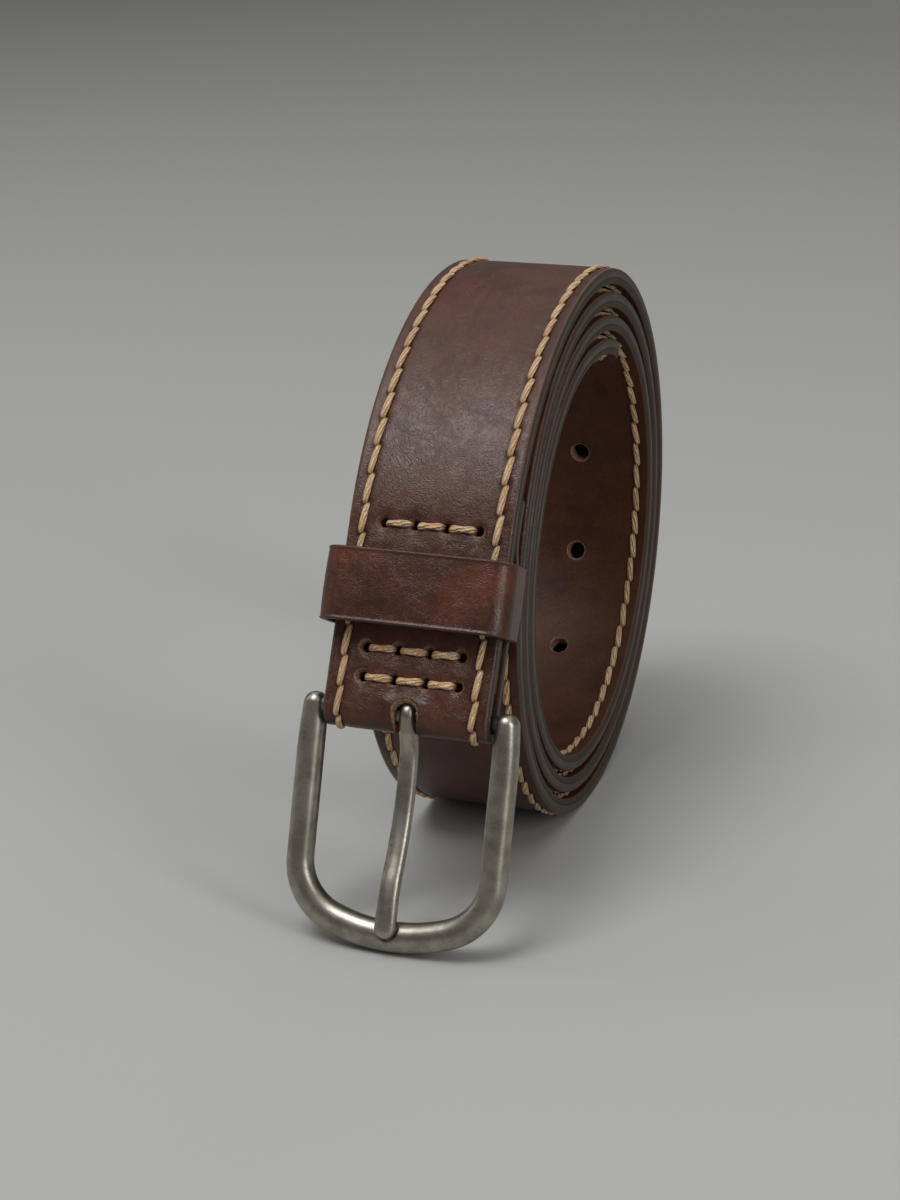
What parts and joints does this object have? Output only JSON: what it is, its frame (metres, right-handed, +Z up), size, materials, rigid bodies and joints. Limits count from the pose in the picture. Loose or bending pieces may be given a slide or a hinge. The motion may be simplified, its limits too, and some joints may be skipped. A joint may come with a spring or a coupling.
{
  "type": "leather belt",
  "caption": "Two-layer stitched leather belt, rolled up and stood on edge, with a leather keeper and a cast pin buckle at the front.",
  "frame": {"origin": "middle of the footprint: bottom centre of the bounding box, on the floor that the roll stands on", "axes": "+X along the axis of the roll and of the buckle's bar, -Y towards the buckle end, +Z up"},
  "size_m": [0.0468, 0.1577, 0.1236],
  "materials": {
    "grain_leather": "dark brown waxed grain leather, softly creased",
    "lining_leather": "smooth dark brown lining leather",
    "keeper_leather": "brown waxed grain leather, a little redder than the strap",
    "thread": "thick waxed tan stitching thread",
    "buckle_metal": "satin antique nickel over a zinc casting",
    "staple_wire": "plain steel wire"
  },
  "bodies": {
    "strap": {"strap_face": "grain_leather", "strap_lining": "lining_leather", "face_thread_left": "thread", "face_thread_right": "thread", "lining_thread_left": "thread", "lining_thread_right": "thread", "cross_stitch_lower": "thread", "cross_stitch_middle": "thread", "cross_stitch_upper": "thread"},
    "keeper_loop": {"keeper": "keeper_leather", "keeper_staple": "staple_wire"},
    "frame": {"buckle_frame": "buckle_metal"},
    "pin": {"prong": "buckle_metal"}
  },
  "joints": [
    {"name": "buckle_swing", "type": "hinge", "parent": "strap", "child": "frame", "pos_m": [0, -0.06173, 0.0464], "axis": [-1, 0, 0], "range_deg": [-25, 30]},
    {"name": "prong_swing", "type": "hinge", "parent": "frame", "child": "pin", "pos_m": [0, -0.06173, 0.0464], "axis": [-1, 0, 0], "range_deg": [0, 70]},
    {"name": "keeper_slide", "type": "slide", "parent": "strap", "child": "keeper_loop", "axis": [0, 0.4226, 0.9063], "range_m": [-0.0032, 0.0003]}
  ]
}
